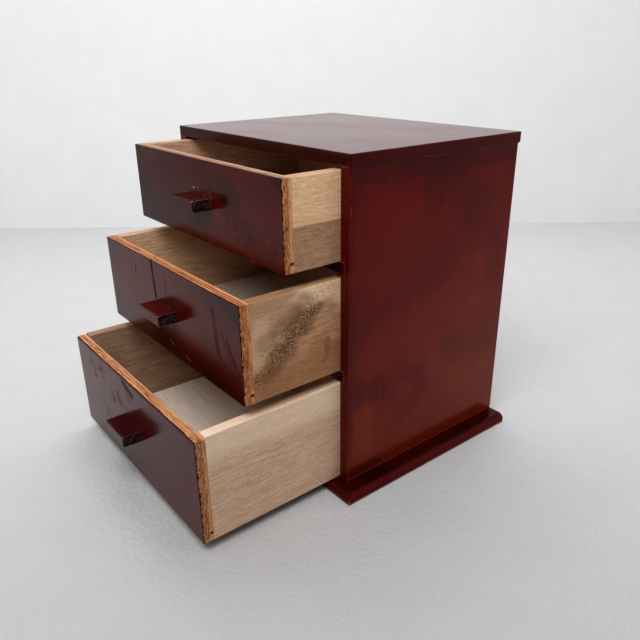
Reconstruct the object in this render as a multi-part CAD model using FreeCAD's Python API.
import FreeCAD, Part
import os

# Small tabletop chest: a lacquered case on a moulded base board, with three inset drawers.
# All lengths are in millimetres. +Z is up, the drawers pull out towards -Y.
# The origin is the centre of the base board's flat underside.

# Case
case_width = 270.0
case_depth = 204.5
side_thickness = 10.8
top_thickness = 10.0
top_back_overhang = 2.5
top_back_round = 2.2
divider_thickness = 10.0
divider_housing_depth = 4.0
case_edge_round = 0.9
divider_edge_round = 0.6

# Base board, whose front and side edges stand out past the case and are rounded over
base_thickness = 9.5
base_side_overhang = 17.5
base_front_overhang = 13.6
base_edge_round = 6.0

# Back panel, held in a rabbet of each side panel
back_panel_thickness = 4.0
back_rabbet_width = 5.0
back_panel_play = 0.2

# Drawers: height of each box, gap left above it, and how far it stands open at rest
top_drawer_height = 71.8
top_drawer_head_gap = 2.6
top_drawer_opening = 55.0
middle_drawer_height = 83.2
middle_drawer_head_gap = 4.0
middle_drawer_opening = 96.0
bottom_drawer_height = 96.2
bottom_drawer_head_gap = 1.8
bottom_drawer_opening = 141.0

# Clearances of a drawer in its bay
drawer_run_clearance = 0.3
drawer_side_clearance = 0.5
drawer_back_clearance = 1.0

# Drawer boards
front_thickness = 9.6
front_edge_round = 0.9
worn_front_edge_round = 3.2
drawer_side_thickness = 10.0
drawer_side_edge_round = 0.8
drawer_back_thickness = 8.0
drawer_back_drop = 2.0

# Drawer bottom, let into a groove of the front and the sides and nailed up into the back
bottom_thickness = 3.0
bottom_groove_rise = 5.5
bottom_groove_depth = 3.0
bottom_groove_play = 0.2

# Pull, a plain block that is a little narrower at its nose
pull_width = 40.0
pull_nose_width = 38.0
pull_height = 10.0
pull_depth = 17.0
pull_edge_round = 0.8

# Wooden dowels
dowel_radius = 2.5
dowel_in_front = 5.5
dowel_in_top = 5.5
dowel_in_side = 9.0
front_dowel_edge_distance = 18.0
top_dowel_end_distance = 22.0
top_dowel_count = 3

# Countersunk wood screws
screw_head_depth_ratio = 0.55
screw_point_length = 3.0
screw_slot_width = 0.8
screw_slot_depth = 0.8
base_screw_radius = 1.75
base_screw_head_radius = 3.5
base_screw_length = 26.0
base_screw_recess = 0.5
base_screw_end_distance = 24.0
base_screw_count = 3
pull_screw_radius = 1.5
pull_screw_head_radius = 2.9
pull_screw_length = 19.0
pull_screw_recess = 0.2
pull_screw_spacing = 20.0

# Small flat-headed nails
nail_radius = 0.7
nail_head_radius = 1.5
nail_head_thickness = 0.5
nail_point_length = 1.6
nail_recess = 0.1
back_nail_length = 15.0
back_nail_end_distance = 16.0
back_nail_count = 6
divider_nail_spacing = 120.0
drawer_back_nail_length = 22.0
drawer_back_nail_end_distance = 16.0
drawer_bottom_nail_length = 14.0
drawer_bottom_nail_spacing = 80.0
drawer_bottom_nail_count = 3

# Room left round every dowel, screw and nail in its hole, and past its end
hole_clearance = 0.05
hole_end_clearance = 0.3

# Case outline, worked out from the sizes above
half_case = case_width / 2
half_inside = half_case - side_thickness
base_depth = base_front_overhang + case_depth
case_front = -base_depth / 2 + base_front_overhang
case_back = base_depth / 2
panel_front = case_back - back_panel_thickness

# Drawer outline, worked out from the sizes above
half_drawer = half_inside - drawer_side_clearance
half_drawer_inside = half_drawer - drawer_side_thickness
drawer_length = case_depth - back_panel_thickness - drawer_back_clearance

# Each drawer from the bottom up: name, height, head gap, opening at rest, round of its front's top edges
DRAWERS = [
    ("bottom_drawer", bottom_drawer_height, bottom_drawer_head_gap, bottom_drawer_opening, worn_front_edge_round),
    ("middle_drawer", middle_drawer_height, middle_drawer_head_gap, middle_drawer_opening, front_edge_round),
    ("top_drawer", top_drawer_height, top_drawer_head_gap, top_drawer_opening, front_edge_round),
]
DIVIDER_NAMES = ["lower_divider", "upper_divider"]


def stack_levels():
    """Heights of the drawers' undersides, of the dividers' undersides and of the top panel's underside."""
    drawer_floors = []
    divider_floors = []
    level = base_thickness
    for name, height, head_gap, opening, top_round in DRAWERS:
        drawer_floors.append(level + drawer_run_clearance)
        level = level + drawer_run_clearance + height + head_gap
        if len(divider_floors) < len(DIVIDER_NAMES):
            divider_floors.append(level)
            level = level + divider_thickness
    return drawer_floors, divider_floors, level


drawer_floors, divider_floors, top_underside = stack_levels()
case_top = top_underside + top_thickness
print("overall height", case_top, "width over the base", case_width + 2 * base_side_overhang)


def block(x, y, z):
    """Rectangular board between two limits along each axis."""
    corner = FreeCAD.Vector(x[0], y[0], z[0])
    return Part.makeBox(x[1] - x[0], y[1] - y[0], z[1] - z[0], corner)


def edges_between(shape, low, high):
    """Edges of a shape whose two ends both lie inside the box from low to high."""
    reach = FreeCAD.BoundBox(low[0], low[1], low[2], high[0], high[1], high[2])
    reach.enlarge(0.01)
    return [edge for edge in shape.Edges if all(reach.isInside(vertex.Point) for vertex in edge.Vertexes)]


def rounded(shape, radius, *reaches):
    """Shape with the edges inside each reach rounded over; the radius keeps within the board."""
    box = shape.BoundBox
    limit = 0.45 * min(box.XLength, box.YLength, box.ZLength)
    edges = []
    for low, high in reaches:
        edges.extend(edges_between(shape, low, high))
    return shape.makeFillet(min(radius, limit), edges)


def line_up(first, last, count):
    """Evenly spaced places from first to last."""
    return [first + (last - first) * index / (count - 1) for index in range(count)]


def turned(shape, place, direction):
    """Shape made along +Z from the origin, set at a place and turned to a direction."""
    copy = shape.copy()
    rotation = FreeCAD.Rotation(FreeCAD.Vector(0, 0, 1), FreeCAD.Vector(*direction))
    copy.Placement = FreeCAD.Placement(FreeCAD.Vector(*place), rotation)
    return copy


def dowel(length, room=0.0):
    """Round dowel along +Z; room makes the hole that takes it."""
    rod = Part.makeCylinder(dowel_radius + room, length)
    if room:
        return rod
    return rod.makeChamfer(0.2 * dowel_radius, [edge for edge in rod.Edges if edge.Closed])


def screw(radius, head_radius, length, room=0.0):
    """Countersunk screw whose head's flat face is at the origin and which points along +Z."""
    head_depth = head_radius * screw_head_depth_ratio
    outer = radius + room
    tip = length + (hole_end_clearance if room else 0.0)
    profile = [
        FreeCAD.Vector(0, 0, 0),
        FreeCAD.Vector(head_radius + room, 0, 0),
        FreeCAD.Vector(outer, 0, head_depth),
        FreeCAD.Vector(outer, 0, tip - screw_point_length),
        FreeCAD.Vector(0, 0, tip),
        FreeCAD.Vector(0, 0, 0),
    ]
    solid = Part.Face(Part.makePolygon(profile)).revolve(FreeCAD.Vector(), FreeCAD.Vector(0, 0, 1), 360)
    if room:
        return solid
    reach = 0.6 * head_radius
    half_slot = screw_slot_width / 2
    slot = block((-reach, reach), (-half_slot, half_slot), (0, screw_slot_depth))
    cross = slot.fuse(block((-half_slot, half_slot), (-reach, reach), (0, screw_slot_depth)))
    return solid.cut(cross)


def nail(length, room=0.0):
    """Flat-headed nail whose head's face is at the origin and which points along +Z."""
    outer = nail_radius + room
    head = nail_head_radius + room
    tip = length + (hole_end_clearance if room else 0.0)
    profile = [
        FreeCAD.Vector(0, 0, 0),
        FreeCAD.Vector(head, 0, 0),
        FreeCAD.Vector(head, 0, nail_head_thickness),
        FreeCAD.Vector(outer, 0, nail_head_thickness),
        FreeCAD.Vector(outer, 0, tip - nail_point_length),
        FreeCAD.Vector(0, 0, tip),
        FreeCAD.Vector(0, 0, 0),
    ]
    return Part.Face(Part.makePolygon(profile)).revolve(FreeCAD.Vector(), FreeCAD.Vector(0, 0, 1), 360)


def mouth(radius, recess):
    """Straight mouth of a hole along +Z, from just outside the surface down to the recessed head."""
    return Part.makeCylinder(radius + hole_clearance, 2 * recess, FreeCAD.Vector(0, 0, -recess))


class Fastener:
    """One kind of fastener: its solid, the hole that takes it and its places, as (place, direction)."""

    def __init__(self, solid, hole, recess, places):
        self.solid = solid
        self.hole = hole
        self.recess = recess
        self.places = places

    def sunk(self, place, direction):
        """Place moved along the direction by the recess."""
        return tuple(p + self.recess * d for p, d in zip(place, direction))

    def solids(self):
        return Part.makeCompound([turned(self.solid, self.sunk(p, d), d) for p, d in self.places])

    def holes(self):
        return [turned(self.hole, self.sunk(p, d), d) for p, d in self.places]


def screws(radius, head_radius, length, recess, places):
    hole = screw(radius, head_radius, length, hole_clearance).fuse(mouth(head_radius, recess))
    return Fastener(screw(radius, head_radius, length), hole, recess, places)


def nails(length, places):
    hole = nail(length, hole_clearance).fuse(mouth(nail_head_radius, nail_recess))
    return Fastener(nail(length), hole, nail_recess, places)


def dowels(length, places):
    hole = dowel(length + hole_end_clearance, hole_clearance)
    return Fastener(dowel(length), hole, 0.0, places)


def drilled(shape, *fasteners):
    """Shape with every fastener's holes cut where they reach it."""
    holes = []
    for fastener in fasteners:
        holes.extend(hole for hole in fastener.holes() if hole.BoundBox.intersect(shape.BoundBox))
    return shape.cut(holes)


# Case fasteners

def top_dowel_places():
    """Upright dowels that join the top panel to both side panels."""
    rows = line_up(case_front + top_dowel_end_distance, panel_front - top_dowel_end_distance, top_dowel_count)
    middle = half_case - side_thickness / 2
    start = top_underside + dowel_in_top
    return [((side * middle, y, start), (0, 0, -1)) for side in (-1, 1) for y in rows]


def base_screw_places():
    """Screws from the underside of the base board up into both side panels."""
    rows = line_up(case_front + base_screw_end_distance, panel_front - base_screw_end_distance, base_screw_count)
    middle = half_case - side_thickness / 2
    return [((side * middle, y, 0.0), (0, 0, 1)) for side in (-1, 1) for y in rows]


def back_nail_places():
    """Nails through the back panel's edges into the rabbets, and into each divider's back edge."""
    column = half_inside + back_rabbet_width / 2
    low = base_thickness + back_nail_end_distance
    high = top_underside - back_nail_end_distance
    heights = line_up(low, high, back_nail_count)
    places = [((side * column, case_back, z), (0, -1, 0)) for side in (-1, 1) for z in heights]
    for floor in divider_floors:
        z = floor + divider_thickness / 2
        for x in line_up(-divider_nail_spacing / 2, divider_nail_spacing / 2, 2):
            places.append(((x, case_back, z), (0, -1, 0)))
    return places


top_dowels = dowels(dowel_in_top + dowel_in_side, top_dowel_places())
base_screws = screws(base_screw_radius, base_screw_head_radius, base_screw_length, base_screw_recess,
                     base_screw_places())
back_panel_nails = nails(back_nail_length, back_nail_places())


# Case boards

def make_top_panel():
    """Board that lies on the side panels, flush with them in front and at the sides."""
    back = case_back + top_back_overhang
    panel = block((-half_case, half_case), (case_front, back), (top_underside, case_top))
    low_back = ((-half_case, back, top_underside), (half_case, back, top_underside))
    panel = rounded(panel, top_back_round, low_back)
    upper_rim = ((-half_case, case_front, case_top), (half_case, back, case_top))
    corners = [((x, case_front, top_underside), (x, case_front, case_top)) for x in (-half_case, half_case)]
    panel = rounded(panel, case_edge_round, upper_rim, *corners)
    return drilled(panel, top_dowels)


def make_side_panel(side):
    """Upright board with a housing for each divider and a rabbet for the back panel."""
    inner = side * half_inside
    outer = side * half_case
    span = (min(inner, outer), max(inner, outer))
    panel = block(span, (case_front, case_back), (base_thickness, top_underside))
    front_edge = ((outer, case_front, base_thickness), (outer, case_front, top_underside))
    back_edge = ((outer, case_back, base_thickness), (outer, case_back, top_underside))
    panel = rounded(panel, case_edge_round, front_edge, back_edge)
    housing_wall = side * (half_inside + divider_housing_depth)
    housing = (min(inner, housing_wall), max(inner, housing_wall))
    cuts = [block(housing, (case_front, panel_front), (z, z + divider_thickness)) for z in divider_floors]
    rabbet_wall = side * (half_inside + back_rabbet_width)
    rabbet = (min(inner, rabbet_wall), max(inner, rabbet_wall))
    cuts.append(block(rabbet, (panel_front, case_back), (base_thickness, top_underside)))
    return drilled(panel.cut(cuts), top_dowels, base_screws, back_panel_nails)


def make_base_board():
    """Board under the case, rounded over along its front and its two ends and cut square at the back."""
    half_width = half_case + base_side_overhang
    front = case_front - base_front_overhang
    board = block((-half_width, half_width), (front, case_back), (0, base_thickness))
    top = base_thickness
    front_edge = ((-half_width, front, top), (half_width, front, top))
    ends = [((x, front, top), (x, case_back, top)) for x in (-half_width, half_width)]
    limit = min(base_edge_round, 0.9 * base_thickness, 0.9 * base_front_overhang, 0.9 * base_side_overhang)
    edges = []
    for low, high in [front_edge] + ends:
        edges.extend(edges_between(board, low, high))
    return drilled(board.makeFillet(limit, edges), base_screws)


def make_divider(floor):
    """Full-depth shelf between two bays, housed in both side panels, flush with their front edges."""
    reach = half_inside + divider_housing_depth
    shelf = block((-reach, reach), (case_front, panel_front), (floor, floor + divider_thickness))
    low = ((-reach, case_front, floor), (reach, case_front, floor))
    high = ((-reach, case_front, floor + divider_thickness), (reach, case_front, floor + divider_thickness))
    return drilled(rounded(shelf, divider_edge_round, low, high), back_panel_nails)


def make_back_panel():
    """Thin panel between the side panels' rabbets, standing on the base board."""
    reach = half_inside + back_rabbet_width - back_panel_play
    panel = block((-reach, reach), (panel_front, case_back), (base_thickness, top_underside))
    return drilled(panel, back_panel_nails)


# Drawers

class Drawer:
    """Places of one drawer's boards, from its height, its floor level and how far it stands open."""

    def __init__(self, height, floor, opening, top_round):
        self.front = case_front - opening
        self.inner_front = self.front + front_thickness
        self.back = self.front + drawer_length
        self.inner_back = self.back - drawer_back_thickness
        self.floor = floor
        self.top = floor + height
        self.top_round = top_round
        self.groove = floor + bottom_groove_rise
        self.bottom_top = self.groove + bottom_thickness
        self.pull_middle = floor + height / 2
        self.pull_screws = screws(pull_screw_radius, pull_screw_head_radius, pull_screw_length,
                                  pull_screw_recess, self.pull_screw_places())
        self.front_dowels = dowels(dowel_in_front + dowel_in_side, self.dowel_places())
        self.back_nails = nails(drawer_back_nail_length, self.back_nail_places())
        self.bottom_nails = nails(drawer_bottom_nail_length, self.bottom_nail_places())

    def pull_screw_places(self):
        """Screws from inside the front into the pull."""
        half = pull_screw_spacing / 2
        return [((x, self.inner_front, self.pull_middle), (0, -1, 0)) for x in (-half, half)]

    def dowel_places(self):
        """Dowels that join the front to the front end of both sides."""
        column = half_drawer - drawer_side_thickness / 2
        start = self.inner_front - dowel_in_front
        heights = (self.floor + front_dowel_edge_distance, self.top - front_dowel_edge_distance)
        return [((side * column, start, z), (0, 1, 0)) for side in (-1, 1) for z in heights]

    def back_nail_places(self):
        """Nails through both sides into the ends of the back."""
        y = self.back - drawer_back_thickness / 2
        low = self.bottom_top + drawer_back_nail_end_distance
        heights = (low, self.top - drawer_back_drop - drawer_back_nail_end_distance)
        return [((side * half_drawer, y, z), (-side, 0, 0)) for side in (-1, 1) for z in heights]

    def bottom_nail_places(self):
        """Nails through the bottom up into the back."""
        y = self.back - drawer_back_thickness / 2
        reach = drawer_bottom_nail_spacing * (drawer_bottom_nail_count - 1) / 2
        columns = line_up(-reach, reach, drawer_bottom_nail_count)
        return [((x, y, self.groove), (0, 0, 1)) for x in columns]

    def groove_height(self):
        return (self.groove, self.bottom_top + bottom_groove_play)

    def make_front(self):
        """Front board with the bottom's groove along its inner face, open at both ends."""
        y = (self.front, self.inner_front)
        board = block((-half_drawer, half_drawer), y, (self.floor, self.top))
        top_edges = ((-half_drawer, self.front, self.top), (half_drawer, self.inner_front, self.top))
        board = rounded(board, self.top_round, top_edges)
        groove_wall = self.inner_front - bottom_groove_depth
        groove = block((-half_drawer, half_drawer), (groove_wall, self.inner_front), self.groove_height())
        low_edge = ((-half_drawer, self.front, self.floor), (half_drawer, self.front, self.floor))
        board = rounded(board, front_edge_round, low_edge)
        return drilled(board.cut(groove), self.pull_screws, self.front_dowels)

    def make_side(self, side):
        """Side board butted against the front's inner face, with the bottom's groove along it."""
        inner = side * half_drawer_inside
        outer = side * half_drawer
        span = (min(inner, outer), max(inner, outer))
        board = block(span, (self.inner_front, self.back), (self.floor, self.top))
        top_edges = [((x, self.inner_front, self.top), (x, self.back, self.top)) for x in (inner, outer)]
        board = rounded(board, drawer_side_edge_round, *top_edges)
        wall = side * (half_drawer_inside + bottom_groove_depth)
        groove = block((min(inner, wall), max(inner, wall)), (self.inner_front, self.back), self.groove_height())
        return drilled(board.cut(groove), self.front_dowels, self.back_nails)

    def make_back(self):
        """Back board between the sides, standing on the bottom."""
        z = (self.bottom_top, self.top - drawer_back_drop)
        board = block((-half_drawer_inside, half_drawer_inside), (self.inner_back, self.back), z)
        return drilled(board, self.back_nails, self.bottom_nails)

    def make_bottom(self):
        """Thin bottom whose front and side edges lie in the grooves."""
        reach = half_drawer_inside + bottom_groove_depth - bottom_groove_play
        front = self.inner_front - bottom_groove_depth + bottom_groove_play
        board = block((-reach, reach), (front, self.back), (self.groove, self.bottom_top))
        return drilled(board, self.bottom_nails)

    def make_pull(self):
        """Block with its foot flat against the front, a little narrower at its nose."""
        nose = self.front - pull_depth
        low = self.pull_middle - pull_height / 2
        half_foot = pull_width / 2
        half_nose = pull_nose_width / 2
        outline = [
            FreeCAD.Vector(-half_foot, self.front, low),
            FreeCAD.Vector(-half_nose, nose, low),
            FreeCAD.Vector(half_nose, nose, low),
            FreeCAD.Vector(half_foot, self.front, low),
            FreeCAD.Vector(-half_foot, self.front, low),
        ]
        block_of_wood = Part.Face(Part.makePolygon(outline)).extrude(FreeCAD.Vector(0, 0, pull_height))
        free_edges = []
        for edge in block_of_wood.Edges:
            on_foot = all(abs(vertex.Y - self.front) < 0.01 for vertex in edge.Vertexes)
            if not on_foot:
                free_edges.append(edge)
        shaped = block_of_wood.makeFillet(min(pull_edge_round, 0.2 * pull_height), free_edges)
        return drilled(shaped, self.pull_screws)


def save(name, shape):
    """Write one node's solids, and stop if the shape is not sound."""
    if not shape.isValid() or not shape.Solids:
        raise ValueError("unsound shape: " + name)
    shape.exportStep("parts/" + name + ".step")
    print(name, len(shape.Solids), "solid(s)", round(shape.Volume), "mm3")


os.makedirs("parts", exist_ok=True)

save("top_panel", make_top_panel())
save("left_side_panel", make_side_panel(-1))
save("right_side_panel", make_side_panel(1))
save("base_board", make_base_board())
save("back_panel", make_back_panel())
for divider_name, divider_floor in zip(DIVIDER_NAMES, divider_floors):
    save(divider_name, make_divider(divider_floor))
save("top_dowels", top_dowels.solids())
save("base_screws", base_screws.solids())
save("back_panel_nails", back_panel_nails.solids())

for (drawer_name, height, head_gap, opening, top_round), floor in zip(DRAWERS, drawer_floors):
    drawer = Drawer(height, floor, opening, top_round)
    save(drawer_name + "_front", drawer.make_front())
    save(drawer_name + "_left_side", drawer.make_side(-1))
    save(drawer_name + "_right_side", drawer.make_side(1))
    save(drawer_name + "_back", drawer.make_back())
    save(drawer_name + "_bottom", drawer.make_bottom())
    save(drawer_name + "_pull", drawer.make_pull())
    save(drawer_name + "_pull_screws", drawer.pull_screws.solids())
    save(drawer_name + "_front_dowels", drawer.front_dowels.solids())
    save(drawer_name + "_back_nails", drawer.back_nails.solids())
    save(drawer_name + "_bottom_nails", drawer.bottom_nails.solids())
